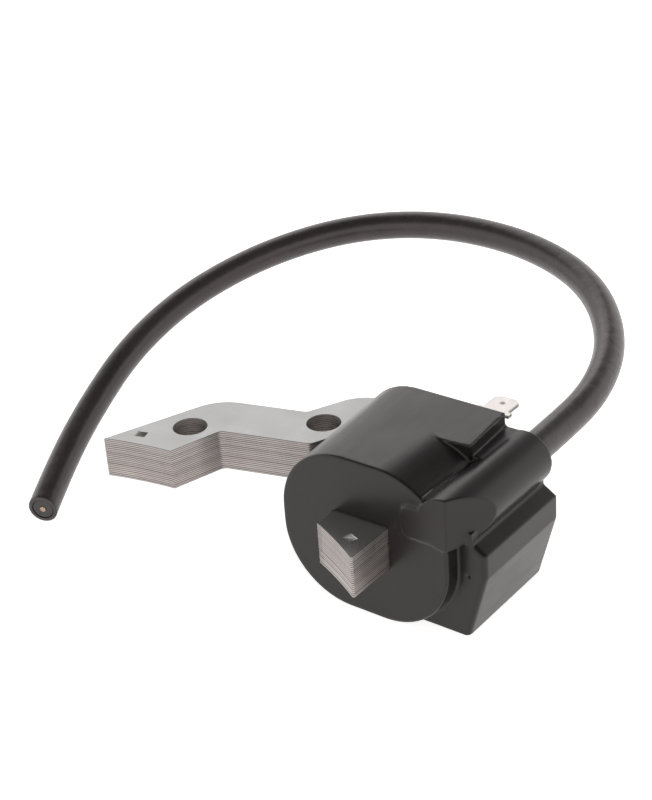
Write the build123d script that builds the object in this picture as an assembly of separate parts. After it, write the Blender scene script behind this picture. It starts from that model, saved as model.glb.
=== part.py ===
"""Flywheel-side ignition coil of a small engine.

Millimetres, +Z up.  The origin is midway between the two mounting holes, on the underside of the
lamination stack.  The coil's own axis, along the wound leg of the core, is Y: the pole faces look
towards -Y and the open, potted side of the case towards +Y.
"""
from build123d import *
import math
import os

os.makedirs("parts", exist_ok=True)

# ---- laminated core: plan of one lamination, all sizes in the XY plane -----------------------
LAMINATION_COUNT = 20
LAMINATION_T = 0.5
STACK_H = LAMINATION_COUNT * LAMINATION_T
BAR_W = 14.0
YOKE_ANGLE = 15.0                    # both yoke bars run at this angle to X
JOG_ANGLE = 64.3                     # the bar between them, which carries the second hole
HOLE_R = 4.0
HOLES = [(-13.07, -8.64), (13.07, 8.64)]
FLYWHEEL_R = 99.0                    # the pole faces lie on this circle
FLYWHEEL_CENTRE = (0.4, -118.3)
LEG_X0 = 37.9                        # wound leg, parallel to Y
LEG_X1 = LEG_X0 + BAR_W
LEG_CX = (LEG_X0 + LEG_X1) / 2
POLE_OUTER = (-27.06, -23.18)        # corners of the free pole
POLE_INNER = (-9.4, -19.77)
POLE_OUTER_ANGLE = 67.9
POLE_INNER_ANGLE = 73.3
YOKE_BACK = (-7.66, 7.12)            # a point on each long edge
JOG_BACK = (6.77, 11.7)
JOG_FRONT = (16.3, -0.82)
BRIDGE_FRONT = (20.6, 11.2)
POLE_REACH = 20.0                    # how far the legs are drawn past the flywheel circle
SHOULDER_R = 11.0
BRIDGE_R = 10.0
HEEL_R = 8.0
INNER_R = 2.0
JOG_R = 1.5
TIP_R = 0.4
LANCE_L = 3.0
LANCE_W = 2.2
LANCE_DEPTH = 0.3
LANCES = [(-20.9, -17.3, 17.0), (47.1, -27.6, -19.5)]     # x, y, direction of each interlock

# ---- moulded case -----------------------------------------------------------------------------
FRONT_Y = -20.9
BACK_Y = 11.8
WALL = 1.8
FRONT_WALL = 2.0
BODY_X1 = 66.7
BODY_Z0 = -13.7
FRONT_X0 = 23.9                      # the body widens a little from its front to its back
FRONT_Z1 = 23.9
FRONT_R = 17.0
BACK_X0 = 23.4
BACK_Z1 = 24.4
BACK_R = 14.3
RIM_R = 0.5
WINDOW_GAP = 0.15                    # case and bobbin stand this far off the wound leg

BOSS_X = 66.1                        # high-tension outlet, a tube along Y
BOSS_Z = 15.4
BOSS_R = 6.2
FACET_FRONT_X = 66.9                 # its front end is cut back to the right by a slanting face
FACET_SLOPE = 2.0
PAD_RISE = 0.4                       # the outlet's front end and the pad beside it stand this proud
PAD_X0 = 55.8
PAD_Z0 = 9.9
PAD_Z1 = 17.4
PAD_R = 2.0
RIB_X = (60.9, 61.3)                 # flash line in the valley between body and outlet
RIB_Y1 = -9.0
RIB_Z1 = 20.2

BOX_FRONT_Y = -16.9                  # trigger compartment
BOX_PROFILE = [(44.0, -13.7), (68.8, -13.7), (73.3, 2.0), (73.3, 7.6), (70.2, 9.6), (70.2, 12.4),
               (62.0, 12.4), (44.0, 0.0)]
BOX_CAVITY = [(60.0, -11.9), (67.4, -11.9), (71.5, 2.2), (71.5, 6.7), (68.0, 8.9), (60.0, 8.9)]
BOX_EDGE_R = 1.2
BOX_PIT = (69.0, BOX_FRONT_Y, 1.7)   # small round pit left by the mould's ejector
BOX_PIT_R = 0.4

BLOCK_FRONT_Y = -3.6                 # terminal block on the shoulder of the body
BLOCK_X0 = 47.0
BLOCK_FRONT_X1 = 61.8
BLOCK_BACK_X1 = 60.8
BLOCK_NOSE = (55.4, -4.2)            # its front wall runs straight from its corner to here
BLOCK_SWEEP = (51.9, -3.0)           # and sweeps back through here
BLOCK_HEEL = (48.6, 0.6)             # until it runs out on the flat top
BLOCK_Z0 = 12.0
BLOCK_EDGE_R = 0.7
WEB_X1 = 64.6                        # low web between the block and the outlet
WEB_Z1 = 21.3
WEB_Z0 = 15.0

POTTING_Y = 11.0                     # level of the resin in the open back

# ---- windings and bobbins ----------------------------------------------------------------------
CORE_CZ = STACK_H / 2
BOBBIN_WALL = 1.0
BOBBIN_END_Y = 9.4
PRIMARY_Y0 = FRONT_Y + FRONT_WALL
PRIMARY_FLANGE = 1.2
PRIMARY_BUILD = 2.1
SECONDARY_GAP = 0.6
SECONDARY_WALL = 0.9
SECONDARY_Y0 = PRIMARY_Y0 + 0.5
SECONDARY_FLANGE = 1.0
SECONDARY_SECTIONS = 6
SECONDARY_BUILD = 3.6
SECONDARY_FLANGE_BUILD = 4.6

# ---- high-tension lead --------------------------------------------------------------------------
LEAD_R = 3.6
INSULATION_R = 2.7
CONDUCTOR_R = 0.8
LEAD_ROUTE = [
    (BOSS_X, 0.0, BOSS_Z), (BOSS_X, 20.5, BOSS_Z), (66.4, 42.0, 17.1), (59.2, 62.6, 20.0),
    (43.2, 80.0, 23.6), (20.0, 89.1, 25.7), (-6.6, 88.9, 26.1), (-28.6, 79.2, 24.4),
    (-44.3, 60.9, 20.8), (-53.4, 38.6, 15.5), (-55.7, 17.3, 8.8), (-52.9, -1.8, 1.3),
    (-48.3, -18.4, -5.2), (-42.2, -32.4, -10.0),
]
RUN_SHARE = 0.45                     # how much of the shorter run each arc takes

# ---- stop terminal, trigger electronics and links -----------------------------------------------
TAB_T = 0.8
TAB_Z = 21.0
TAB_CX = 55.45
TAB_W = 6.3
TAB_Y0 = 2.0
TAB_Y1 = 21.9
TAB_TIP = 1.1
WING_W = 8.3
WING_Y0 = 14.75
WING_Y1 = 16.3
TAB_DIMPLE_R = 0.6
TAB_DIMPLE_Y = 19.2
TAB_HOLE_Y = 5.0                     # potting keys through this hole in the buried root

BOARD_X0 = 65.6
BOARD_T = 1.2
BOARD_X1 = BOARD_X0 + BOARD_T
BOARD_Y = (-12.0, 10.2)
BOARD_Z = (-10.5, 8.5)
LINK_R = 0.35
LINK_Y = 9.8
LINK_BEND = 0.8
CONTACT_R = 2.5
CONTACT_Y = (-3.0, 0.0)
PORT_Y = (-9.0, -3.0)
PORT_X0 = 60.0
PORT_HALF_H = 1.5
SLEEVE_WALL = 1.2                    # plastic between the lead and the potted space


def xz_plane(y):
    """Sketch plane across the coil's axis at y: local x is +X and local y is +Z."""
    return Plane(origin=(0, y, 0), x_dir=(1, 0, 0), z_dir=(0, -1, 0))


def along_y(sketch, y0, y1):
    """Prism of an XZ sketch, which is drawn flat, between two places on the Y axis."""
    return extrude(xz_plane(y0) * sketch, amount=y1 - y0, dir=(0, 1, 0))


def block(x0, x1, y0, y1, z0, z1):
    """Plain rectangular block between its two corners."""
    return Pos((x0 + x1) / 2, (y0 + y1) / 2, (z0 + z1) / 2) * Box(x1 - x0, y1 - y0, z1 - z0)


def rounded(cx, cz, w, h, r):
    """Rounded rectangle, drawn flat, about a centre."""
    return Pos(cx, cz) * RectangleRounded(w, h, r)


def span(x0, x1, z0, z1, r):
    """Rounded rectangle, drawn flat, between its sides."""
    return rounded((x0 + x1) / 2, (z0 + z1) / 2, x1 - x0, z1 - z0, r)


def polygon(points):
    """Closed face through the points."""
    return make_face(Polyline(*points, close=True))


def save(solid, node):
    """Write one sub-part to its own STEP."""
    solid.label = node
    export_step(solid, f"parts/{node}.step")
    return solid


# ---- laminated core ------------------------------------------------------------------------------
def crossing(p, angle_p, q, angle_q):
    """Where a line through p meets a line through q, both given by their angles in degrees."""
    a = math.radians(angle_p)
    b = math.radians(angle_q)
    t = ((q[0] - p[0]) * math.sin(b) - (q[1] - p[1]) * math.cos(b)) / math.sin(b - a)
    return (p[0] + t * math.cos(a), p[1] + t * math.sin(a))


def beyond(p, angle, distance):
    """Point at a distance from p, back along the angle."""
    a = math.radians(angle)
    return (p[0] - distance * math.cos(a), p[1] - distance * math.sin(a))


def lamination_outline():
    """Plan of one lamination, with its corners rounded, its pole faces and its two holes."""
    bridge_rise = BAR_W / math.cos(math.radians(YOKE_ANGLE))
    bridge_back = (BRIDGE_FRONT[0], BRIDGE_FRONT[1] + bridge_rise)
    corners = [
        (beyond(POLE_OUTER, POLE_OUTER_ANGLE, POLE_REACH), 0),
        (crossing(POLE_OUTER, POLE_OUTER_ANGLE, YOKE_BACK, YOKE_ANGLE), SHOULDER_R),
        (crossing(YOKE_BACK, YOKE_ANGLE, JOG_BACK, JOG_ANGLE), JOG_R),
        (crossing(JOG_BACK, JOG_ANGLE, bridge_back, YOKE_ANGLE), BRIDGE_R),
        (crossing(bridge_back, YOKE_ANGLE, (LEG_X1, 0), 90), HEEL_R),
        ((LEG_X1, POLE_OUTER[1] - POLE_REACH), 0),
        ((LEG_X0, POLE_OUTER[1] - POLE_REACH), 0),
        (crossing(BRIDGE_FRONT, YOKE_ANGLE, (LEG_X0, 0), 90), INNER_R),
        (crossing(JOG_FRONT, JOG_ANGLE, BRIDGE_FRONT, YOKE_ANGLE), INNER_R),
        (JOG_FRONT, INNER_R),
        (crossing(JOG_FRONT, YOKE_ANGLE, POLE_INNER, POLE_INNER_ANGLE), INNER_R),
        (beyond(POLE_INNER, POLE_INNER_ANGLE, POLE_REACH), 0),
    ]
    outline = polygon([point for point, radius in corners])
    for point, radius in corners:
        if radius:
            outline = fillet(nearest_vertex(outline, point), radius)
    outline -= Pos(*FLYWHEEL_CENTRE) * Circle(FLYWHEEL_R)
    drop = math.sqrt(FLYWHEEL_R ** 2 - (LEG_X1 - FLYWHEEL_CENTRE[0]) ** 2)
    outline = fillet(nearest_vertex(outline, (LEG_X1, FLYWHEEL_CENTRE[1] + drop)), TIP_R)
    for hole in HOLES:
        outline -= Pos(*hole) * Circle(HOLE_R)
    return outline


def nearest_vertex(shape, point):
    """The shape's vertex nearest to a point in plan."""
    return shape.vertices().sort_by(lambda v: math.hypot(v.X - point[0], v.Y - point[1]))[0]


def lance(x, y, direction):
    """Wedge pressed out of a lamination: it starts at the top face and deepens along its length."""
    profile = polygon([(-LANCE_L / 2, 0), (LANCE_L / 2, 0), (LANCE_L / 2, -LANCE_DEPTH)])
    wedge = extrude(Plane.XZ * profile, amount=LANCE_W / 2, both=True)
    return Pos(x, y, LAMINATION_T) * Rot(0, 0, direction) * wedge


def laminations():
    """The stack: every lance sits in the hollow of the one below, and the lowest has clear slots."""
    sheet = extrude(lamination_outline(), amount=LAMINATION_T)
    marks = [lance(*place) for place in LANCES]
    for mark in marks:
        sheet -= mark
    lowest = sheet
    for x, y, direction in LANCES:
        slot = Pos(x, y, LAMINATION_T / 2) * Rot(0, 0, direction) * Box(LANCE_L, LANCE_W, LAMINATION_T)
        lowest -= slot
    for mark in marks:
        sheet += Pos(0, 0, -LAMINATION_T) * mark
    for index in range(LAMINATION_COUNT):
        layer = sheet if index else lowest
        save(Pos(0, 0, index * LAMINATION_T) * layer, f"lamination_{index + 1:02d}")


# ---- moulded case ----------------------------------------------------------------------------------
def body_loft(inset, y0, y1):
    """The round body, or its inside when inset by a wall, between two places on the Y axis."""
    share0 = (y0 - FRONT_Y) / (BACK_Y - FRONT_Y)
    share1 = (y1 - FRONT_Y) / (BACK_Y - FRONT_Y)
    sections = []
    for y, share in ((y0, share0), (y1, share1)):
        x0 = FRONT_X0 + share * (BACK_X0 - FRONT_X0)
        z1 = FRONT_Z1 + share * (BACK_Z1 - FRONT_Z1)
        r = FRONT_R + share * (BACK_R - FRONT_R)
        flat = span(x0 + inset, BODY_X1 - inset, BODY_Z0 + inset, z1 - inset, r - inset)
        sections.append(xz_plane(y) * flat)
    return loft(sections, ruled=True)


def outlet_boss():
    """Tube for the lead, with its front end cut back by a slanting face, and the pad beside it."""
    front = FRONT_Y - PAD_RISE
    boss = along_y(Pos(BOSS_X, BOSS_Z) * Circle(BOSS_R), front, BACK_Y)
    reach = BOSS_X + BOSS_R + 1 - FACET_FRONT_X
    corner = [
        (FACET_FRONT_X, front),
        (FACET_FRONT_X + reach, front + FACET_SLOPE * reach),
        (FACET_FRONT_X + reach, front - 1),
        (FACET_FRONT_X, front - 1),
    ]
    boss -= Pos(0, 0, BOSS_Z - 10) * extrude(polygon(corner), amount=20)
    pad = span(PAD_X0, BOSS_X, PAD_Z0, PAD_Z1, PAD_R)
    return boss + along_y(pad, front, FRONT_Y + 1)


def valley_rib():
    """Fine flash line that stands up in the valley between the body and the outlet."""
    return block(*RIB_X, FRONT_Y + RIM_R, RIB_Y1, BOSS_Z, RIB_Z1)


def trigger_box():
    """Compartment beside the round body."""
    box = along_y(polygon(BOX_PROFILE), BOX_FRONT_Y, BACK_Y)
    front = [e for e in box.edges().filter_by_position(Axis.Y, BOX_FRONT_Y - 0.01, BOX_FRONT_Y + 0.01)
             if e.center().X > BODY_X1 + 4]
    return fillet(front, BOX_EDGE_R) - Pos(*BOX_PIT) * Sphere(BOX_PIT_R)


def body_top(y):
    """Height of the body's flat top, which rises a little towards the back."""
    return FRONT_Z1 + (y - FRONT_Y) / (BACK_Y - FRONT_Y) * (BACK_Z1 - FRONT_Z1)


def terminal_block():
    """Block on the shoulder of the body, flush with its flat top, and the low web beside it."""
    plan = make_face([
        Polyline(BLOCK_HEEL, (BLOCK_X0, BACK_Y), (BLOCK_BACK_X1, BACK_Y), (BLOCK_FRONT_X1, BLOCK_FRONT_Y),
                 BLOCK_NOSE),
        ThreePointArc(BLOCK_NOSE, BLOCK_SWEEP, BLOCK_HEEL),
    ])
    plan = fillet(nearest_vertex(plan, (BLOCK_FRONT_X1, BLOCK_FRONT_Y)), BLOCK_EDGE_R)
    solid = Pos(0, 0, BLOCK_Z0) * extrude(plan, amount=BACK_Z1 - BLOCK_Z0)
    y0 = BLOCK_FRONT_Y - 2
    over = polygon([(y0, body_top(y0)), (BACK_Y, BACK_Z1), (BACK_Y, BACK_Z1 + 1), (y0, BACK_Z1 + 1)])
    solid -= extrude(Plane(origin=(BLOCK_X0 - 5, 0, 0), x_dir=(0, 1, 0), z_dir=(1, 0, 0)) * over, amount=30)
    web = block(BLOCK_BACK_X1 - 4, WEB_X1, BLOCK_FRONT_Y + 0.8, BACK_Y, WEB_Z0, WEB_Z1)
    return solid + web


def case_outside():
    """Everything the case fills before it is hollowed."""
    body = body_loft(0, FRONT_Y, BACK_Y)
    rim = body.edges().filter_by_position(Axis.Y, FRONT_Y - 0.01, FRONT_Y + 0.01)
    body = fillet(rim, RIM_R)
    return body + outlet_boss() + trigger_box() + terminal_block() + valley_rib()


def case_inside():
    """The space inside the case, open at the back: body, trigger box, terminal block and outlet."""
    body = body_loft(WALL, FRONT_Y + FRONT_WALL, BACK_Y)
    box = along_y(polygon(BOX_CAVITY), BOX_FRONT_Y + WALL, BACK_Y)
    pocket = block(BLOCK_X0, BLOCK_BACK_X1 - WALL, BLOCK_FRONT_Y + WALL, BACK_Y, BLOCK_Z0, BACK_Z1 - 2.0)
    sleeve = along_y(Pos(BOSS_X, BOSS_Z) * Circle(LEAD_R + SLEEVE_WALL), CONTACT_Y[0] - SLEEVE_WALL, BACK_Y)
    well = along_y(Pos(BOSS_X, BOSS_Z) * Circle(CONTACT_R), PORT_Y[0], CONTACT_Y[1])
    port = block(PORT_X0, BOSS_X, PORT_Y[0], PORT_Y[1], BOSS_Z - PORT_HALF_H, BOSS_Z + PORT_HALF_H)
    return (body + box + pocket - sleeve) + well + port


def leg_window(y0, y1, gap=WINDOW_GAP):
    """Rectangular way for the wound leg."""
    return block(LEG_X0 - gap, LEG_X1 + gap, y0, y1, -gap, STACK_H + gap)


def coil_case():
    """The case: outside less inside, with the leg's window and the lead's bore."""
    bore = along_y(Pos(BOSS_X, BOSS_Z) * Circle(LEAD_R), CONTACT_Y[1], BACK_Y)
    return case_outside() - case_inside() - leg_window(FRONT_Y - 1, PRIMARY_Y0 + 1) - bore


# ---- bobbins and windings --------------------------------------------------------------------------
def ring(inner_w, inner_h, outer_w, outer_h, inner_r, outer_r, y0, y1):
    """Rounded rectangular ring about the wound leg."""
    flat = rounded(LEG_CX, CORE_CZ, outer_w, outer_h, outer_r)
    if inner_r:
        flat -= rounded(LEG_CX, CORE_CZ, inner_w, inner_h, inner_r)
    else:
        flat -= Pos(LEG_CX, CORE_CZ) * Rectangle(inner_w, inner_h)
    return along_y(flat, y0, y1)


TUBE_IN = (BAR_W + 2 * WINDOW_GAP, STACK_H + 2 * WINDOW_GAP)
TUBE_OUT = (TUBE_IN[0] + 2 * BOBBIN_WALL, TUBE_IN[1] + 2 * BOBBIN_WALL)
PRIMARY_OUT = (TUBE_OUT[0] + 2 * PRIMARY_BUILD, TUBE_OUT[1] + 2 * PRIMARY_BUILD)
SLEEVE_IN = (PRIMARY_OUT[0] + 2 * SECONDARY_GAP, PRIMARY_OUT[1] + 2 * SECONDARY_GAP)
SLEEVE_OUT = (SLEEVE_IN[0] + 2 * SECONDARY_WALL, SLEEVE_IN[1] + 2 * SECONDARY_WALL)
SECONDARY_OUT = (SLEEVE_OUT[0] + 2 * SECONDARY_BUILD, SLEEVE_OUT[1] + 2 * SECONDARY_BUILD)
FLANGE_OUT = (SLEEVE_OUT[0] + 2 * SECONDARY_FLANGE_BUILD, SLEEVE_OUT[1] + 2 * SECONDARY_FLANGE_BUILD)
TUBE_R = 1.0
PRIMARY_R = 3.0
SLEEVE_R = 4.0
SECONDARY_R = 7.5
LINK_X = LEG_CX + TUBE_OUT[0] / 2 + PRIMARY_BUILD / 2
LINK_ZS = (0.5, 6.9)                 # heights of the two primary ends
NOTCH_W = 1.6


def primary_bobbin():
    """Tube on the leg with a flange at each end; the back flange passes the winding's two ends."""
    bobbin = ring(*TUBE_IN, *TUBE_OUT, 0, TUBE_R, PRIMARY_Y0, BOBBIN_END_Y)
    for y0 in (PRIMARY_Y0, BOBBIN_END_Y - PRIMARY_FLANGE):
        bobbin += ring(*TUBE_IN, *PRIMARY_OUT, 0, PRIMARY_R, y0, y0 + PRIMARY_FLANGE)
    for z in LINK_ZS:
        bobbin -= along_y(Pos(LINK_X, z) * Circle(LINK_R), BOBBIN_END_Y - PRIMARY_FLANGE, BOBBIN_END_Y)
    return bobbin


def primary_winding():
    """Heavy low-voltage winding, as one block of copper between the flanges."""
    y0 = PRIMARY_Y0 + PRIMARY_FLANGE
    return ring(*TUBE_OUT, *PRIMARY_OUT, TUBE_R, PRIMARY_R, y0, BOBBIN_END_Y - PRIMARY_FLANGE)


def section_pitch():
    """Distance from one winding section to the next."""
    return (BOBBIN_END_Y - SECONDARY_FLANGE - SECONDARY_Y0) / SECONDARY_SECTIONS


def secondary_bobbin():
    """Sleeve over the primary, with flanges that part the fine winding into sections."""
    bobbin = ring(*SLEEVE_IN, *SLEEVE_OUT, PRIMARY_R, SLEEVE_R, SECONDARY_Y0, BOBBIN_END_Y)
    for index in range(SECONDARY_SECTIONS + 1):
        y0 = SECONDARY_Y0 + index * section_pitch()
        bobbin += ring(*SLEEVE_IN, *FLANGE_OUT, PRIMARY_R, SECONDARY_R, y0, y0 + SECONDARY_FLANGE)
    return bobbin - crossover()


def crossover():
    """Notch through the inner flanges, where the wire passes from section to section."""
    z1 = CORE_CZ + SECONDARY_OUT[1] / 2
    y0 = SECONDARY_Y0 + SECONDARY_FLANGE
    y1 = SECONDARY_Y0 + SECONDARY_SECTIONS * section_pitch()
    return block(LEG_CX - NOTCH_W / 2, LEG_CX + NOTCH_W / 2, y0, y1, z1 - NOTCH_W, z1)


def secondary_winding():
    """Fine high-voltage winding in its sections, joined where it crosses over."""
    winding = crossover()
    for index in range(SECONDARY_SECTIONS):
        y0 = SECONDARY_Y0 + index * section_pitch() + SECONDARY_FLANGE
        y1 = y0 + section_pitch() - SECONDARY_FLANGE
        winding += ring(*SLEEVE_OUT, *SECONDARY_OUT, SLEEVE_R, SECONDARY_R, y0, y1)
    return winding


# ---- lead ------------------------------------------------------------------------------------------
def corner_radii(route):
    """Radius of the arc at each corner, as large as its two runs allow, with the runs' lengths."""
    runs = [Vector(*b) - Vector(*a) for a, b in zip(route, route[1:])]
    radii = []
    for before, after in zip(runs, runs[1:]):
        half_turn = math.radians(before.get_angle(after)) / 2
        radii.append(RUN_SHARE * min(before.length, after.length) / math.tan(half_turn))
    return radii


def lead_path():
    """Centre line of the lead: straight runs joined by tangent arcs."""
    return FilletPolyline(*LEAD_ROUTE, radius=corner_radii(LEAD_ROUTE))


def lead_tube(path, outer, inner=0.0):
    """Round section, hollow when it has an inner radius, carried along the lead."""
    start = Plane(origin=path @ 0, z_dir=path % 0)
    section = start * Circle(outer)
    if inner:
        section -= start * Circle(inner)
    return sweep(section, path=path)


# ---- terminal, trigger electronics and links ---------------------------------------------------------
def stop_terminal():
    """Flat push-on tab with stop wings, a dimple near its tip and a keying hole in its root."""
    half = TAB_W / 2
    wing = WING_W / 2
    side = [(half, TAB_Y0), (half, WING_Y0), (wing, WING_Y0), (wing, WING_Y1), (half, WING_Y1),
            (half, TAB_Y1 - TAB_TIP), (half - TAB_TIP, TAB_Y1)]
    mirrored = [(-x, y) for x, y in reversed(side)]
    tab = Pos(TAB_CX, 0, TAB_Z) * extrude(polygon(side + mirrored), amount=TAB_T)
    tab -= Pos(TAB_CX, TAB_HOLE_Y, TAB_Z + TAB_T / 2) * Cylinder(1.2, TAB_T)
    return tab - Pos(TAB_CX, TAB_DIMPLE_Y, TAB_Z + TAB_T) * Sphere(TAB_DIMPLE_R)


def link_wire(points):
    """Short bare link of round wire through the points."""
    path = FilletPolyline(*points, radius=LINK_BEND)
    return sweep(Plane(origin=path @ 0, z_dir=path % 0) * Circle(LINK_R), path=path)


def links():
    """The wires that join windings, board, stop terminal and outlet contact."""
    winding_y = BOBBIN_END_Y - PRIMARY_FLANGE
    wires = {}
    for name, z in zip(("primary_start_wire", "primary_end_wire"), LINK_ZS):
        wires[name] = link_wire([(LINK_X, winding_y, z), (LINK_X, LINK_Y, z), (BOARD_X0, LINK_Y, z)])
    stop_x = TAB_CX + 2.4
    turn_x = LEG_CX + FLANGE_OUT[0] / 2 - 0.6
    wires["stop_wire"] = link_wire([
        (stop_x, LINK_Y + 0.2, TAB_Z), (stop_x, LINK_Y + 0.2, 18.6), (turn_x, LINK_Y + 0.2, 15.6),
        (turn_x, LINK_Y, 8.0), (BOARD_X0, LINK_Y, 8.0),
    ])
    ring_x = LEG_CX + SECONDARY_OUT[0] / 2
    ring_y = SECONDARY_Y0 + 2.5 * section_pitch() + SECONDARY_FLANGE / 2
    rise_x = ring_x + 1.9
    wires["ht_link_wire"] = link_wire([
        (ring_x, ring_y, 9.5), (rise_x, ring_y, 9.5), (rise_x, ring_y, BOSS_Z),
        (BOSS_X, ring_y, BOSS_Z), (BOSS_X, CONTACT_Y[0], BOSS_Z),
    ])
    return wires


def outlet_contact():
    """Brass button at the bottom of the outlet, against the lead's cut end."""
    return along_y(Pos(BOSS_X, BOSS_Z) * Circle(CONTACT_R), *CONTACT_Y)


def ground_strap():
    """Thin strip from the board to the side of the wound leg, behind the bobbins."""
    t = 0.4
    z0 = 2.0
    z1 = 5.8
    across = block(LEG_X1, BOARD_X0, LINK_Y - t / 2, LINK_Y + t / 2, z0, z1)
    tail = block(LEG_X1, LEG_X1 + t, LINK_Y - t / 2, 15.0, z0, z1)
    return across + tail


def power_transistor():
    """Flat switching transistor on the board, with three legs down onto it."""
    package = block(BOARD_X1 + 0.6, BOARD_X1 + 4.0, -9.0, -0.6, 0.0, 6.4)
    tab = block(BOARD_X1 + 0.6, BOARD_X1 + 1.6, -9.0, -0.6, -3.2, 0.0)
    part = package + tab
    for y in (-7.3, -4.8, -2.3):
        part += block(BOARD_X1, BOARD_X1 + 0.6, y - 0.4, y + 0.4, 5.0, 6.2)
    return part


def chip_resistor(y, z):
    """Small block resistor standing on the board."""
    return block(BOARD_X1, BOARD_X1 + 0.9, y - 1.6, y + 1.6, z - 0.8, z + 0.8)


def electronics():
    """The board and what is on it."""
    board = block(BOARD_X0, BOARD_X1, *BOARD_Y, *BOARD_Z)
    chip = block(BOARD_X1, BOARD_X1 + 1.5, 1.6, 6.6, 1.0, 5.0)
    disc = Pos(BOARD_X1 + 1.1, 4.6, -3.2) * Rot(0, 90, 0) * Cylinder(2.4, 2.2)
    diode = Pos(BOARD_X1 + 0.8, -8.0, -7.0) * Rot(90, 0, 0) * Cylinder(0.8, 4.6)
    return {
        "circuit_board": board,
        "power_transistor": power_transistor(),
        "control_chip": chip,
        "disc_capacitor": disc,
        "clamp_diode": diode,
        "base_resistor": chip_resistor(-1.6, -6.6),
        "sense_resistor": chip_resistor(3.4, -7.6),
    }


def potting(inside, buried):
    """Resin that fills the case up to its level, around everything buried in it."""
    above = block(BACK_X0 - 5, BOSS_X + 20, POTTING_Y, BACK_Y + 1, BODY_Z0 - 5, BACK_Z1 + 5)
    core = block(LEG_CX - PRIMARY_OUT[0] / 2, LEG_CX + PRIMARY_OUT[0] / 2, PRIMARY_Y0, BOBBIN_END_Y,
                 CORE_CZ - TUBE_OUT[1] / 2, CORE_CZ + TUBE_OUT[1] / 2)
    resin = inside - above - core - leg_window(BOBBIN_END_Y - 1, BACK_Y, 0.0)
    for solid in buried:
        resin -= solid
    return resin


def main():
    laminations()
    save(coil_case(), "coil_case")
    path = lead_path()
    parts = {
        "primary_bobbin": primary_bobbin(),
        "primary_winding": primary_winding(),
        "secondary_bobbin": secondary_bobbin(),
        "secondary_winding": secondary_winding(),
        "stop_terminal": stop_terminal(),
        "ht_contact": outlet_contact(),
        "ground_strap": ground_strap(),
    }
    parts.update(electronics())
    parts.update(links())
    for node, solid in parts.items():
        save(solid, node)
    save(potting(case_inside(), parts.values()), "potting")
    lead = {
        "lead_jacket": (LEAD_R, INSULATION_R),
        "lead_insulation": (INSULATION_R, CONDUCTOR_R),
        "lead_conductor": (CONDUCTOR_R, 0.0),
    }
    for node, (outer, inner) in lead.items():
        tube = save(lead_tube(path, outer, inner), node)
        ideal = math.pi * (outer ** 2 - inner ** 2) * path.length
        print(f"{node}: volume {tube.volume:.1f}, section times length {ideal:.1f}")
    print("lead length", round(path.length, 1), "of which free", round(path.length - BACK_Y, 1))
    print("lead radii", [round(r, 1) for r in corner_radii(LEAD_ROUTE)])


main()
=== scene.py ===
import math
import random

import bmesh
import bpy
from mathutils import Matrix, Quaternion, Vector


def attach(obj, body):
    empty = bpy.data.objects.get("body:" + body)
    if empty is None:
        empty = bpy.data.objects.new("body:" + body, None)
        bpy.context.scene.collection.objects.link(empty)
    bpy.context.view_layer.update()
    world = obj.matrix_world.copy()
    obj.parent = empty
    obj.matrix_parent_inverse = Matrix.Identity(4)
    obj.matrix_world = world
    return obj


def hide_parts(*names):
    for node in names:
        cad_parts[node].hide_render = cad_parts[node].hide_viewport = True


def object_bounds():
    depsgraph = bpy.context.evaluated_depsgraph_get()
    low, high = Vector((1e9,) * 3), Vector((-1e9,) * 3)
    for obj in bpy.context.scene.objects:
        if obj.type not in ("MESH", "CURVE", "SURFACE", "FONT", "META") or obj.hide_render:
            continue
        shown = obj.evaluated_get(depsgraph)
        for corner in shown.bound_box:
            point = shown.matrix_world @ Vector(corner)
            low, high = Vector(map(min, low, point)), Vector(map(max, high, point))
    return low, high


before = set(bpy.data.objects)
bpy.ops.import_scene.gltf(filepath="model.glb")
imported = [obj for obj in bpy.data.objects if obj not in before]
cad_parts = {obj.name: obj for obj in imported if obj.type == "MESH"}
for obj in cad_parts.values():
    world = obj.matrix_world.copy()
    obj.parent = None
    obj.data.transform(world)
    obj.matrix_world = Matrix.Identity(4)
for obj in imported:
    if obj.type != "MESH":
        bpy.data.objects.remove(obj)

cad_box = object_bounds()

MM = 0.001
UP = Vector((0, 0, 1))
RANGE_ENDS = ("From Min", "From Max", "To Min", "To Max")


def mm(x, y, z):
    """A point given in millimetres."""
    return Vector((x, y, z)) * MM


# ---- camera and light --------------------------------------------------------------------------
CAMERA_AT = mm(236.2, -265.4, 206.3)
CAMERA_AIM = Vector((-0.55404, 0.68419, -0.47427))
CAMERA_ROLL = math.radians(-4.34)
CAMERA_LENS = 78.4


def make_camera():
    """The camera, at the reference view's place."""
    camera = bpy.data.objects.new("camera", bpy.data.cameras.new("camera"))
    bpy.context.collection.objects.link(camera)
    camera.data.lens = CAMERA_LENS
    camera.data.sensor_width = 36
    camera.data.clip_start = 0.01
    camera.data.clip_end = 20
    camera.location = CAMERA_AT
    camera.rotation_mode = "QUATERNION"
    camera.rotation_quaternion = CAMERA_AIM.to_track_quat("-Z", "Y") @ Quaternion((0, 0, 1), CAMERA_ROLL)
    bpy.context.scene.camera = camera


def soft_box(name, at, target, size, power, mirrored=False):
    """One large soft area light, aimed at a point, which glossy surfaces may mirror."""
    light = bpy.data.objects.new(name, bpy.data.lights.new(name, "AREA"))
    bpy.context.collection.objects.link(light)
    light.data.shape = "RECTANGLE"
    light.data.size, light.data.size_y = size
    light.data.energy = power
    light.visible_glossy = mirrored
    light.location = at
    light.rotation_mode = "QUATERNION"
    light.rotation_quaternion = (target - at).to_track_quat("-Z", "Y")


WORLD_BRIGHT = 1.28
WORLD_DARK = 0.16
WORLD_EDGE = (0.50, 0.68)            # sine of the elevations between which the surround darkens


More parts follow.
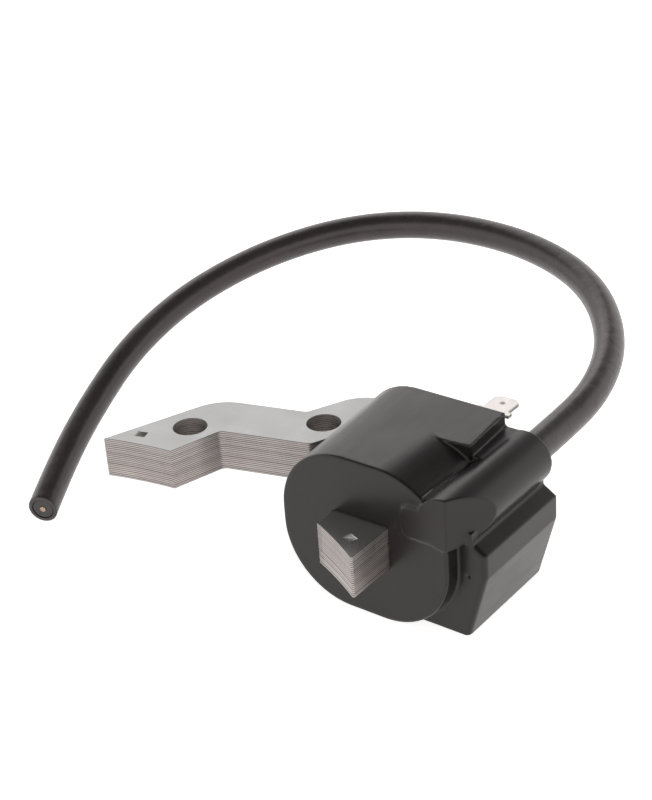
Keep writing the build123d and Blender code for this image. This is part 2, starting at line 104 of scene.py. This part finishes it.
def make_light():
    """A bright surround up to about 30 degrees, a dark ceiling above it, and soft boxes."""
    world = bpy.data.worlds.new("studio")
    world.use_nodes = True
    tree = world.node_tree
    surround = tree.nodes["Background"]
    direction = tree.nodes.new("ShaderNodeTexCoord").outputs["Generated"]
    split = tree.nodes.new("ShaderNodeSeparateXYZ")
    fall = tree.nodes.new("ShaderNodeMapRange")
    fall.interpolation_type = "SMOOTHSTEP"
    tree.links.new(direction, split.inputs["Vector"])
    tree.links.new(split.outputs["Z"], fall.inputs["Value"])
    for name, number in zip(RANGE_ENDS, (*WORLD_EDGE, WORLD_BRIGHT, WORLD_DARK)):
        fall.inputs[name].default_value = number
    tree.links.new(fall.outputs["Result"], surround.inputs["Strength"])
    surround.inputs["Color"].default_value = (1.0, 0.985, 0.975, 1)
    bpy.context.scene.world = world
    bpy.context.scene.view_settings.view_transform = "Standard"
    middle = mm(30, 0, 0)
    soft_box("key", mm(-420, 380, 520), middle, (0.5, 0.4), 0.7, mirrored=True)
    soft_box("front", mm(500, -420, 260), middle, (0.4, 0.3), 0.6)


make_camera()
make_light()


# ---- node helpers ------------------------------------------------------------------------------
class Shader:
    """A material under construction, with short calls for the nodes that the finishes share."""

    def __init__(self, name):
        self.material = bpy.data.materials.new(name)
        self.material.use_nodes = True
        self.tree = self.material.node_tree
        self.surface = self.tree.nodes["Principled BSDF"]
        self.place = self.tree.nodes.new("ShaderNodeTexCoord").outputs["Object"]

    def set(self, **sockets):
        """Constant values on the shader's own sockets, spaces written as underscores."""
        for name, value in sockets.items():
            self.surface.inputs[name.replace("_", " ")].default_value = value
        return self

    def node(self, kind, **settings):
        made = self.tree.nodes.new(kind)
        for name, value in settings.items():
            setattr(made, name, value)
        return made

    def feed(self, socket, value):
        """Links an output to a socket, or sets the socket to a constant."""
        if isinstance(value, bpy.types.NodeSocket):
            self.tree.links.new(value, socket)
        else:
            socket.default_value = value

    def stretched(self, scale):
        """The object's own coordinates, scaled along each axis."""
        mapping = self.node("ShaderNodeMapping")
        self.feed(mapping.inputs["Vector"], self.place)
        mapping.inputs["Scale"].default_value = scale
        return mapping.outputs["Vector"]

    def noise(self, per_mm, detail=3.0, rough=0.5, at=None):
        """Noise with this many features to a millimetre."""
        made = self.node("ShaderNodeTexNoise")
        self.feed(made.inputs["Vector"], at or self.place)
        made.inputs["Scale"].default_value = per_mm / MM
        made.inputs["Detail"].default_value = detail
        made.inputs["Roughness"].default_value = rough
        return made.outputs["Fac"]

    def ramp(self, value, stops):
        """Colour ramp over (place, colour or grey) stops."""
        made = self.node("ShaderNodeValToRGB")
        self.feed(made.inputs["Fac"], value)
        row = made.color_ramp.elements
        while len(row) < len(stops):
            row.new(0.5)
        for element, (place, colour) in zip(row, stops):
            element.position = place
            grey = isinstance(colour, (int, float))
            element.color = (colour, colour, colour, 1) if grey else (*colour, 1)
        return made.outputs["Color"]

    def spread(self, value, low, high, from_low=0.3, from_high=0.7):
        """Maps a value's useful range to another."""
        made = self.node("ShaderNodeMapRange")
        self.feed(made.inputs["Value"], value)
        for name, number in zip(RANGE_ENDS, (from_low, from_high, low, high)):
            made.inputs[name].default_value = number
        return made.outputs["Result"]

    def maths(self, operation, a, b=0.0, c=0.0):
        """Arithmetic on outputs or constants."""
        made = self.node("ShaderNodeMath", operation=operation)
        for socket, value in zip(made.inputs, (a, b, c)):
            self.feed(socket, value)
        return made.outputs["Value"]

    def mix(self, share, a, b):
        """Colour mix of two colours or outputs."""
        made = self.node("ShaderNodeMix", data_type="RGBA")
        self.feed(made.inputs["Factor"], share)
        for name, value in (("A", a), ("B", b)):
            socket = [s for s in made.inputs if s.name == name and s.type == "RGBA"][0]
            self.feed(socket, value if isinstance(value, bpy.types.NodeSocket) else (*value, 1))
        return [s for s in made.outputs if s.type == "RGBA"][0]

    def axis(self, name):
        """One coordinate of the object's own frame."""
        split = self.node("ShaderNodeSeparateXYZ")
        self.feed(split.inputs["Vector"], self.place)
        return split.outputs[name]

    def facing(self, name):
        """One component of the surface normal, which says which way a face looks."""
        split = self.node("ShaderNodeSeparateXYZ")
        turned = self.node("ShaderNodeVectorTransform", vector_type="NORMAL")
        turned.convert_from, turned.convert_to = "WORLD", "OBJECT"
        self.feed(turned.inputs["Vector"], self.node("ShaderNodeNewGeometry").outputs["Normal"])
        self.feed(split.inputs["Vector"], turned.outputs["Vector"])
        return split.outputs[name]

    def bump(self, *layers):
        """Stacks bump layers, each (height output, depth in mm)."""
        last = None
        for height, depth in layers:
            made = self.node("ShaderNodeBump")
            made.inputs["Distance"].default_value = depth * MM
            made.inputs["Strength"].default_value = 1.0
            self.feed(made.inputs["Height"], height)
            if last:
                self.feed(made.inputs["Normal"], last)
            last = made.outputs["Normal"]
        self.feed(self.surface.inputs["Normal"], last)
        return self

    def paint(self, colour, rough):
        """Links the surface's colour and roughness."""
        self.feed(self.surface.inputs["Base Color"], colour)
        self.feed(self.surface.inputs["Roughness"], rough)


# ---- materials ---------------------------------------------------------------------------------
WARM_GLOSS = (1.0, 0.90, 0.91, 1)    # tint of what black plastic and rubber mirror
SHEET_T = 0.5 * MM
SEAM_BAND = (0.08, 0.24)             # where the dark line between two sheets fades, in sheets; the line is their coating and painted shade in the gap
SEAM_COAT_AND_SHADE = 0.92
SUNK_BAND = (0.16, 0.03)             # how far under a sheet's top an interlock's floor takes its painted reflection, in sheets
PRESSED_R = (2.2 * MM, 2.4 * MM)     # round each interlock
# where each interlock is pressed, and the colour painted on its sloping floor: a painted dark reflection on
# the first, a painted bright reflection on the second
PRESSED_PAINTED_REFLECTION = [(mm(-20.9, -17.3, 0), (0.10, 0.09, 0.075)), (mm(47.1, -27.6, 0), (0.97, 0.96, 0.94))]


def sheet_steel(index):
    """One lamination's steel: satin rolled faces and darker sheared edges with fine vertical tearing, seam
    lines of coating and painted shade, and a painted reflection in each interlock.
    """
    dice = random.Random(100 + index)
    tone = dice.uniform(0.86, 1.06)
    warm = dice.uniform(0.0, 0.03)
    s = Shader(f"sheet_steel_{index:02d}").set(Metallic=0.75)
    grain = s.noise(1.2, 4, 0.6, at=s.stretched((0.06, 1.0, 1.0)))
    cloud = s.noise(0.09, 3, 0.55)
    face = s.ramp(s.maths("MULTIPLY_ADD", grain, 0.35, s.maths("MULTIPLY", cloud, 0.65)),
                  [(0.32, (0.338, 0.337, 0.335)), (0.68, (0.368, 0.367, 0.365))])
    depth = s.maths("MULTIPLY_ADD", s.axis("Z"), 1 / SHEET_T, 0.5)
    from_seam = s.maths("ABSOLUTE", s.maths("SUBTRACT", s.maths("FRACT", depth), 0.5))
    seam = s.spread(from_seam, 1.0, 0.0, *SEAM_BAND)
    tear = s.noise(3.5, 3, 0.6, at=s.stretched((1.0, 1.0, 0.3)))
    blotch = s.noise(0.12, 2, 0.5)
    worn = s.maths("MULTIPLY_ADD", tear, 0.4, s.maths("MULTIPLY", blotch, 0.6))
    edge = s.ramp(worn, [(0.30, (0.35 * tone, 0.315 * tone, 0.30 * tone)),
                         (0.50, ((0.40 + warm) * tone, 0.37 * tone, 0.355 * tone)),
                         (0.72, ((0.46 + warm) * tone, 0.43 * tone, 0.41 * tone))])
    # the dark line at each seam: the sheets' coating, and painted shade in the gap between them
    edge = s.mix(s.maths("MULTIPLY", seam, SEAM_COAT_AND_SHADE), edge, (0.035, 0.030, 0.028))
    flat = s.spread(s.maths("ABSOLUTE", s.facing("Z")), 0.0, 1.0, 0.75, 0.98)
    sunk = s.spread(s.axis("Z"), 1.0, 0.0, *((index - depth_in) * SHEET_T for depth_in in SUNK_BAND))
    colour = s.mix(flat, edge, face)
    # paints each interlock's sunk floor with its painted reflection
    for at, painted_reflection in PRESSED_PAINTED_REFLECTION:
        away = s.node("ShaderNodeVectorMath", operation="DISTANCE")
        s.feed(away.inputs[0], s.stretched((1.0, 1.0, 0.0)))
        away.inputs[1].default_value = at
        near = s.spread(away.outputs["Value"], 1.0, 0.0, *PRESSED_R)
        colour = s.mix(s.maths("MULTIPLY", sunk, near), colour, painted_reflection)
    s.paint(colour, s.spread(worn, 0.26, 0.38))
    return s.bump((tear, 0.006), (grain, 0.002)).material


def case_plastic():
    """Black moulded plastic: semi-gloss, faint flow marks and scattered specks of dust."""
    s = Shader("case_plastic").set(Metallic=0.0, IOR=1.45, Specular_Tint=WARM_GLOSS,
                                    Sheen_Weight=0.06, Sheen_Roughness=0.25, Sheen_Tint=WARM_GLOSS)
    cloud = s.noise(0.07, 4, 0.6)
    speck = s.noise(2.2, 2, 0.5)
    flow = s.noise(0.5, 3, 0.55, at=s.stretched((1.0, 0.16, 1.0)))
    tone = s.ramp(cloud, [(0.30, (0.0050, 0.0045, 0.0043)), (0.72, (0.0080, 0.0072, 0.0069))])
    dust = s.spread(speck, 0.0, 0.4, 0.70, 0.84)
    colour = s.mix(dust, tone, (0.045, 0.042, 0.038))
    uneven = s.maths("MULTIPLY_ADD", flow, 0.5, s.maths("MULTIPLY", cloud, 0.5))
    rough = s.spread(uneven, 0.27, 0.36, 0.32, 0.68)
    s.paint(colour, rough)
    return s.bump((cloud, 0.06), (flow, 0.010), (s.noise(7.0, 2, 0.5), 0.003)).material


def lead_rubber():
    """Matt black rubber jacket with a slight bloom and lengthwise drawing marks."""
    s = Shader("lead_rubber").set(Metallic=0.0, IOR=1.60, Specular_Tint=WARM_GLOSS, Sheen_Weight=0.18,
                                  Sheen_Roughness=0.4, Sheen_Tint=(1.0, 0.93, 0.90, 1))
    cloud = s.noise(0.12, 4, 0.6)
    bloom = s.noise(0.9, 4, 0.62)
    tone = s.ramp(cloud, [(0.3, (0.011, 0.0098, 0.0088)), (0.7, (0.022, 0.0195, 0.0175))])
    s.paint(s.mix(s.spread(bloom, 0.0, 0.30, 0.58, 0.80), tone, (0.070, 0.064, 0.057)),
            s.spread(bloom, 0.27, 0.40))
    return s.bump((s.noise(0.35, 2, 0.5), 0.10), (s.noise(1.8, 3, 0.55), 0.012)).material


def cut_rubber(name, dark, light):
    """A knife-cut face of rubber or insulation: matt, with faint drag marks."""
    s = Shader(name).set(Metallic=0.0, IOR=1.48)
    drag = s.noise(3.0, 3, 0.6, at=s.stretched((1.0, 0.25, 0.6)))
    s.paint(s.ramp(drag, [(0.3, dark), (0.7, light)]), s.spread(drag, 0.55, 0.75))
    return s.bump((drag, 0.03)).material


def bright_metal(name, dark, light, rough=(0.22, 0.38), metallic=1.0):
    """Plated or drawn metal with fine rolling marks and a few dull spots."""
    s = Shader(name).set(Metallic=metallic)
    roll = s.noise(3.0, 3, 0.6, at=s.stretched((1.0, 0.08, 1.0)))
    cloud = s.noise(0.25, 3, 0.5)
    s.paint(s.ramp(cloud, [(0.3, dark), (0.7, light)]), s.spread(roll, *rough))
    return s.bump((roll, 0.004), (s.noise(1.1, 2, 0.5), 0.006)).material


def enamelled_wire(name, turns_per_mm):
    """Wound enamelled copper: the turns show as fine ridges across the winding's axis, with painted shade in
    the grooves between them.
    """
    s = Shader(name).set(Metallic=0.85, IOR=1.5)
    phase = s.maths("MULTIPLY", s.axis("Y"), 2 * math.pi * turns_per_mm / MM)
    ridge_and_shade = s.maths("MULTIPLY_ADD", s.maths("SINE", phase), 0.5, 0.5)
    cloud = s.noise(0.4, 3, 0.6)
    colour = s.mix(cloud, (0.42, 0.13, 0.045), (0.62, 0.25, 0.10))
    # painted shade in the grooves between turns, where the ridge is low
    s.paint(s.mix(ridge_and_shade, (0.12, 0.035, 0.015), colour), s.spread(cloud, 0.25, 0.42))
    return s.bump((ridge_and_shade, 0.5 / turns_per_mm)).material


def moulded(name, dark, light, rough):
    """Plain moulded or cast stuff: clouded colour, uneven gloss, fine grain."""
    s = Shader(name).set(Metallic=0.0, IOR=1.48)
    cloud = s.noise(0.3, 4, 0.6)
    s.paint(s.ramp(cloud, [(0.3, dark), (0.7, light)]), s.spread(s.noise(1.1, 3, 0.6), *rough))
    return s.bump((s.noise(2.5, 3, 0.6), 0.01)).material


def cast_resin():
    """Filled epoxy: glossy where it settled, with sunk bubbles, painted shade in their pits, and slow
    ripples.
    """
    s = Shader("cast_resin").set(Metallic=0.0, IOR=1.53)
    cloud = s.noise(0.14, 4, 0.6)
    ripple = s.noise(0.22, 2, 0.4)
    cells = s.node("ShaderNodeTexVoronoi", feature="F1")
    s.feed(cells.inputs["Vector"], s.place)
    cells.inputs["Scale"].default_value = 0.33 / MM
    pit_and_shade = s.spread(cells.outputs["Distance"], 0.0, 1.0, 0.04, 0.16)
    # painted shade at the bottom of each bubble's pit
    s.paint(s.mix(pit_and_shade, (0.006, 0.006, 0.006), s.ramp(cloud, [(0.3, (0.014, 0.013, 0.012)),
                                                             (0.7, (0.030, 0.027, 0.024))])),
            s.spread(cloud, 0.18, 0.34))
    return s.bump((ripple, 0.25), (pit_and_shade, 0.18), (s.noise(3.0, 2, 0.5), 0.006)).material


def board_green():
    """Solder mask over copper tracks, which stand up a little in straight bands."""
    s = Shader("board_green").set(Metallic=0.0, IOR=1.5)
    bands = s.node("ShaderNodeTexBrick")
    s.feed(bands.inputs["Vector"], s.stretched((0.0, 1.0, 1.0)))
    bands.inputs["Scale"].default_value = 0.18 / MM
    track = bands.outputs["Fac"]
    cloud = s.noise(0.5, 3, 0.6)
    s.paint(s.mix(track, s.mix(cloud, (0.010, 0.085, 0.030), (0.016, 0.12, 0.045)), (0.03, 0.19, 0.07)),
            s.spread(cloud, 0.25, 0.4))
    return s.bump((track, 0.03)).material


FLOOR_GLOW = 0.72


def floor_paper():
    """Plain pale paper."""
    s = Shader("floor_paper").set(Metallic=0.0)
    tooth = s.noise(0.8, 3, 0.6)
    s.set(Emission_Color=(1.0, 0.995, 0.99, 1), Emission_Strength=FLOOR_GLOW)
    tone = s.ramp(tooth, [(0.3, (0.90, 0.90, 0.895)), (0.7, (0.93, 0.93, 0.925))])
    s.paint(tone, s.spread(tooth, 0.85, 0.95))
    return s.bump((tooth, 0.01)).material


# ---- mesh helpers --------------------------------------------------------------------------------
def add_piece(name, mesh, material, slot, *replaced):
    """Links a mesh as a piece, with its material and the nodes it stands for; its finish slot is not used.
    """
    piece = bpy.data.objects.new(name, mesh)
    bpy.context.collection.objects.link(piece)
    piece.data.materials.clear()
    for one in material if isinstance(material, (list, tuple)) else [material]:
        piece.data.materials.append(one)
    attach(piece, "root")
    if replaced:
        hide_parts(*replaced)
    return piece


WELD = 0.002 * MM


def cad_copy(node):
    """The node's mesh as packed, as a new bmesh with its doubled points welded."""
    shape = bmesh.new()
    shape.from_mesh(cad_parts[node].data)
    bmesh.ops.remove_doubles(shape, verts=shape.verts, dist=WELD)
    bmesh.ops.dissolve_degenerate(shape, edges=shape.edges, dist=WELD)
    bmesh.ops.recalc_face_normals(shape, faces=shape.faces)
    return shape


def settle(piece):
    """Applies a piece's modifiers to its mesh."""
    graph = bpy.context.evaluated_depsgraph_get()
    mesh = bpy.data.meshes.new_from_object(piece.evaluated_get(graph))
    piece.modifiers.clear()
    piece.data = mesh
    return piece


def shade(mesh, sharp_degrees=None):
    """Smooth shading, with edges over an angle kept sharp."""
    mesh.shade_smooth()
    if sharp_degrees is not None:
        mesh.set_sharp_from_angle(angle=math.radians(sharp_degrees))


def finished(shape, name, sharp=40):
    """A bmesh turned into a smooth-shaded mesh."""
    mesh = bpy.data.meshes.new(name)
    shape.to_mesh(mesh)
    shape.free()
    shade(mesh, sharp)
    return mesh


# ---- lead ------------------------------------------------------------------------------------------
LEAD_ROUTE = [
    (66.1, 0.0, 15.4), (66.1, 20.5, 15.4), (66.4, 42.0, 17.1), (59.2, 62.6, 20.0),
    (43.2, 80.0, 23.6), (20.0, 89.1, 25.7), (-6.6, 88.9, 26.1), (-28.6, 79.2, 24.4),
    (-44.3, 60.9, 20.8), (-53.4, 38.6, 15.5), (-55.7, 17.3, 8.8), (-52.9, -1.8, 1.3),
    (-48.3, -18.4, -5.2), (-42.2, -32.4, -10.0),
]
LEAD_R = 3.6 * MM
INSULATION_R = 2.7 * MM
CORE_R = 0.75 * MM
LEAD_SIDES = 40
CUT_TILT = Vector((0.30, -0.75, 0.60)).normalized()
LIP_R = 0.25 * MM
CUT_SLANT = 0.28
INSULATION_GAP = 0.24 * MM           # the insulation stands off the jacket and is sunk at the cut
INSULATION_SUNK = 0.16 * MM
INSULATION_DISH = 1.6
STRAND_GAP = 0.05 * MM
STRAND_SUNK = 0.02 * MM
STRAND_COUNT = 7
STRAND_PITCH = 14 * MM
STRAND_SIDES = 8


def route_line():
    """Points along the lead's smooth centre line, read from its own spline."""
    curve = bpy.data.curves.new("lead_line", "CURVE")
    curve.dimensions = "3D"
    spline = curve.splines.new("NURBS")
    spline.points.add(len(LEAD_ROUTE) - 1)
    for point, place in zip(spline.points, LEAD_ROUTE):
        point.co = (*mm(*place), 1)
    spline.order_u = 3
    spline.use_endpoint_u = True
    spline.resolution_u = 14
    holder = bpy.data.objects.new("lead_line", curve)
    mesh = bpy.data.meshes.new_from_object(holder)
    line = [v.co.copy() for v in mesh.vertices]
    bpy.data.objects.remove(holder)
    bpy.data.meshes.remove(mesh)
    bpy.data.curves.remove(curve)
    return line


def frames_along(line):
    """A cross-section frame (place, side, side, direction) at each point, carried without twist."""
    ways = [(b - a).normalized() for a, b in zip(line, line[1:])]
    ways = [ways[0]] + [(a + b).normalized() for a, b in zip(ways, ways[1:])] + [ways[-1]]
    side = ways[0].cross(UP).normalized()
    rows = []
    for place, way in zip(line, ways):
        side = (side - way * side.dot(way)).normalized()
        rows.append((place, side, way.cross(side), way))
    return rows


def ring(shape, row, radius, cut=None, sides=LEAD_SIDES):
    """A ring of points round the line, pushed along it onto the cut plane if one is given."""
    place, across, up, way = row
    points = []
    for index in range(sides):
        angle = 2 * math.pi * index / sides
        point = place + (across * math.cos(angle) + up * math.sin(angle)) * radius
        if cut:
            at, normal = cut
            point += way * ((at - point).dot(normal) / way.dot(normal))
        points.append(shape.verts.new(point))
    return points


def bridge(shape, a, b, slot=0):
    """Quads between two rings."""
    count = len(a)
    for index in range(count):
        face = shape.faces.new((a[index], a[(index + 1) % count], b[(index + 1) % count], b[index]))
        face.material_index = slot


def lead_shell(rows, outer, inner, cut):
    """A closed tube wall with a rounded lip at its cut end."""
    shape = bmesh.new()
    rings = [ring(shape, row, outer) for row in rows[:-1]]
    at, normal = cut
    lip = (at - normal * LIP_R, normal)
    rings.append(ring(shape, rows[-1], outer, lip))
    for step in range(1, 4):
        turn = math.radians(30 * step)
        radius = outer - LIP_R * (1 - math.cos(turn))
        level = (at - normal * LIP_R * (1 - math.sin(turn)), normal)
        rings.append(ring(shape, rows[-1], radius, level))
    cut_face = len(rings) - 1
    rings.append(ring(shape, rows[-1], inner, cut))
    rings += [ring(shape, row, inner) for row in reversed(rows[:-1])]
    for index, (a, b) in enumerate(zip(rings, rings[1:])):
        bridge(shape, a, b, 1 if index == cut_face else 0)
    bridge(shape, rings[-1], rings[0])
    bmesh.ops.recalc_face_normals(shape, faces=shape.faces)
    return finished(shape, "lead_jacket_skin")


def lead_filling(rows, outer, inner, cut, proud):
    """Closed tube wall of the insulation, its cut face a little sunk or proud."""
    shape = bmesh.new()
    at, normal = cut
    level = (at + normal * proud, normal)
    rings = [ring(shape, row, outer) for row in rows[:-1]] + [ring(shape, rows[-1], outer, level)]
    rings += [ring(shape, rows[-1], (outer + inner) / 2, (at + normal * proud * INSULATION_DISH, normal))]
    rings += [ring(shape, rows[-1], inner, level)] + [ring(shape, row, inner) for row in reversed(rows[:-1])]
    for a, b in zip(rings, rings[1:]):
        bridge(shape, a, b)
    bridge(shape, rings[-1], rings[0])
    bmesh.ops.recalc_face_normals(shape, faces=shape.faces)
    return finished(shape, "lead_insulation_wall")


def lead_strands(rows, cut):
    """Seven twisted strands: one in the middle and six laid round it."""
    shape = bmesh.new()
    strand_r = CORE_R / 3
    travelled = 0.0
    places = [0.0]
    for a, b in zip(rows, rows[1:]):
        travelled += (b[0] - a[0]).length
        places.append(travelled)
    for index in range(STRAND_COUNT):
        off = 0.0 if index == 0 else 2 * strand_r
        rings = []
        for row, along in zip(rows, places):
            place, across, up, way = row
            angle = 2 * math.pi * (along / STRAND_PITCH + index / (STRAND_COUNT - 1))
            middle = place + (across * math.cos(angle) + up * math.sin(angle)) * off
            level = cut if row is rows[-1] else None
            rings.append(ring(shape, (middle, across, up, way), strand_r, level, STRAND_SIDES))
        for a, b in zip(rings, rings[1:]):
            bridge(shape, a, b)
        shape.faces.new(list(reversed(rings[0])))
        shape.faces.new(rings[-1])
    bmesh.ops.recalc_face_normals(shape, faces=shape.faces)
    return finished(shape, "lead_strand_bundle", sharp=50)


def make_lead():
    """The lead's three pieces."""
    line = route_line()
    rows = frames_along(line)
    end, way = rows[-1][0], rows[-1][3]
    tilt = (way + CUT_TILT * CUT_SLANT).normalized()
    low_side = math.sqrt(max(0.0, 1 - way.dot(tilt) ** 2)) / way.dot(tilt) * LEAD_R
    cut = (end - way * low_side, tilt)
    jacket_cut = cut_rubber("jacket_cut", (0.022, 0.018, 0.016), (0.045, 0.038, 0.034))
    jacket = add_piece("lead_jacket_skin", lead_shell(rows, LEAD_R, INSULATION_R, cut),
                       [lead_rubber(), jacket_cut], "lead_jacket", "lead_jacket")
    filling = add_piece("lead_insulation_wall",
                        lead_filling(rows, INSULATION_R - INSULATION_GAP, CORE_R + STRAND_GAP, cut,
                                     -INSULATION_SUNK),
                        cut_rubber("insulation_cut", (0.030, 0.029, 0.026), (0.050, 0.048, 0.043)),
                        "lead_insulation", "lead_insulation")
    strands = add_piece("lead_strand_bundle", lead_strands(rows, (cut[0] - tilt * STRAND_SUNK, tilt)),
                        bright_metal("tinned_copper", (0.40, 0.27, 0.20), (0.70, 0.52, 0.42), (0.3, 0.45)),
                        "strand", "lead_conductor")


make_lead()


# ---- laminated core --------------------------------------------------------------------------------
ROLL_OVER = 0.13 * MM                # the edge that the punch drew in
BURR_SIDE = 0.04 * MM
SHIFT = 0.035 * MM
SHORTEST_RIM = 20 * MM               # an interlock's rim is shorter, a bolt hole's is longer
FLAT_Z = 0.999


def rim_edges(shape, upward):
    """The edges between a sheet's flat face and its cut sides, all round and in its holes."""
    found = []
    for edge in shape.edges:
        if len(edge.link_faces) != 2:
            continue
        flats = [f for f in edge.link_faces if f.normal.z * upward > 0.95]
        walls = [f for f in edge.link_faces if abs(f.normal.z) < 0.05]
        if len(flats) == 1 and len(walls) == 1:
            found.append(edge)
    return found


def in_loops(edges, shortest):
    """Drops the edges of closed loops that are too short to be an outline or a bolt hole."""
    rest = set(edges)
    kept = []
    while rest:
        group = [rest.pop()]
        for edge in group:
            for vert in edge.verts:
                near = [e for e in vert.link_edges if e in rest]
                group.extend(near)
                rest.difference_update(near)
        if sum(e.calc_length() for e in group) > shortest:
            kept.extend(group)
    return kept


def make_laminations():
    """Each lamination as its own sheet with a drawn-in upper edge, shifted a hair, its faces truly flat."""
    names = sorted(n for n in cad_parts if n.startswith("lamination_"))
    for index, node in enumerate(names, 1):
        dice = random.Random(index)
        shape = cad_copy(node)
        for upward, width in ((1, ROLL_OVER), (-1, BURR_SIDE)):
            rims = in_loops(rim_edges(shape, upward), SHORTEST_RIM)
            bmesh.ops.bevel(shape, geom=rims, offset=width, segments=2, profile=0.5,
                            affect="EDGES", clamp_overlap=False)
        shift = Vector((dice.uniform(-SHIFT, SHIFT), dice.uniform(-SHIFT, SHIFT), 0))
        bmesh.ops.translate(shape, verts=shape.verts, vec=shift)
        mesh = finished(shape, f"sheet_{index:02d}", 40)
        for face in mesh.polygons:
            face.use_smooth = abs(face.normal.z) < FLAT_Z
        add_piece(f"sheet_{index:02d}", mesh, sheet_steel(index), "core_steel", node)


make_laminations()


# ---- moulded case ----------------------------------------------------------------------------------
VOXEL = 0.21 * MM
SMOOTH_STEPS = 5
CASE_TRIANGLES = 190_000


def make_case():
    """The case with its moulded edges and inner corners rounded, thinned to a set number of triangles."""
    shape = cad_copy("coil_case")
    mesh = bpy.data.meshes.new("coil_case_moulding")
    shape.to_mesh(mesh)
    shape.free()
    piece = add_piece("coil_case_moulding", mesh, case_plastic(), "case", "coil_case")
    remesh = piece.modifiers.new("remesh", "REMESH")
    remesh.mode = "VOXEL"
    remesh.voxel_size = VOXEL
    smooth = piece.modifiers.new("smooth", "CORRECTIVE_SMOOTH")
    smooth.factor = 0.5
    smooth.iterations = SMOOTH_STEPS
    smooth.smooth_type = "SIMPLE"
    smooth.use_only_smooth = True
    settle(piece)
    thin = piece.modifiers.new("thin", "DECIMATE")
    thin.ratio = min(1.0, CASE_TRIANGLES / (2 * len(piece.data.polygons)))
    settle(piece)
    shade(piece.data)


make_case()


# ---- stop tab --------------------------------------------------------------------------------------
TAB_EDGE = 0.10 * MM


def make_stop_tab():
    """The push-on tab with its stamped edges broken."""
    shape = cad_copy("stop_terminal")
    mesh = bpy.data.meshes.new("stop_tab_blade")
    shape.to_mesh(mesh)
    shape.free()
    plating = bright_metal("tinned_brass", (0.68, 0.640, 0.615), (0.76, 0.720, 0.695), (0.28, 0.42), 0.8)
    piece = add_piece("stop_tab_blade", mesh, plating, "tinned_brass", "stop_terminal")
    bevel = piece.modifiers.new("edge", "BEVEL")
    bevel.width = TAB_EDGE
    bevel.segments = 2
    bevel.limit_method = "ANGLE"
    bevel.angle_limit = math.radians(40)
    bevel.harden_normals = True
    settle(piece)
    piece.data.shade_flat()


make_stop_tab()


# ---- finishes of the pieces that stay as packed --------------------------------------------------------
def dress(material, *nodes):
    """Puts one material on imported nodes."""
    for node in nodes:
        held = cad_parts[node]
        held.data.materials.clear()
        held.data.materials.append(material)


nylon = moulded("natural_nylon", (0.60, 0.56, 0.44), (0.74, 0.70, 0.58), (0.35, 0.5))
package = moulded("component_epoxy", (0.010, 0.010, 0.010), (0.020, 0.020, 0.021), (0.45, 0.6))
dipped = moulded("dipped_ceramic", (0.42, 0.22, 0.07), (0.55, 0.31, 0.11), (0.25, 0.4))
wire = bright_metal("link_copper", (0.50, 0.20, 0.10), (0.66, 0.31, 0.18), (0.25, 0.4))
brass = bright_metal("plain_brass", (0.52, 0.36, 0.13), (0.68, 0.50, 0.22), (0.28, 0.45))
dress(nylon, "primary_bobbin", "secondary_bobbin")
dress(enamelled_wire("primary_turns", 1.6), "primary_winding")
dress(enamelled_wire("secondary_turns", 6.0), "secondary_winding")
dress(package, "power_transistor", "control_chip", "clamp_diode")
dress(dipped, "disc_capacitor", "base_resistor", "sense_resistor")
dress(wire, "primary_start_wire", "primary_end_wire", "stop_wire", "ht_link_wire")
dress(brass, "ht_contact", "ground_strap")
dress(board_green(), "circuit_board")
dress(cast_resin(), "potting")


# ---- floor ---------------------------------------------------------------------------------------------
FLOOR_HALF = 3.0
FLOOR_DROP = 0.05 * MM


def make_floor():
    """Plain pale floor under the lowest point of the part."""
    level = cad_box[0].z - FLOOR_DROP
    shape = bmesh.new()
    corners = [(-1, -1), (1, -1), (1, 1), (-1, 1)]
    shape.faces.new([shape.verts.new((x * FLOOR_HALF, y * FLOOR_HALF, level)) for x, y in corners])
    mesh = bpy.data.meshes.new("floor")
    shape.to_mesh(mesh)
    shape.free()
    floor = bpy.data.objects.new("floor", mesh)
    bpy.context.collection.objects.link(floor)
    floor.data.materials.append(floor_paper())


make_floor()
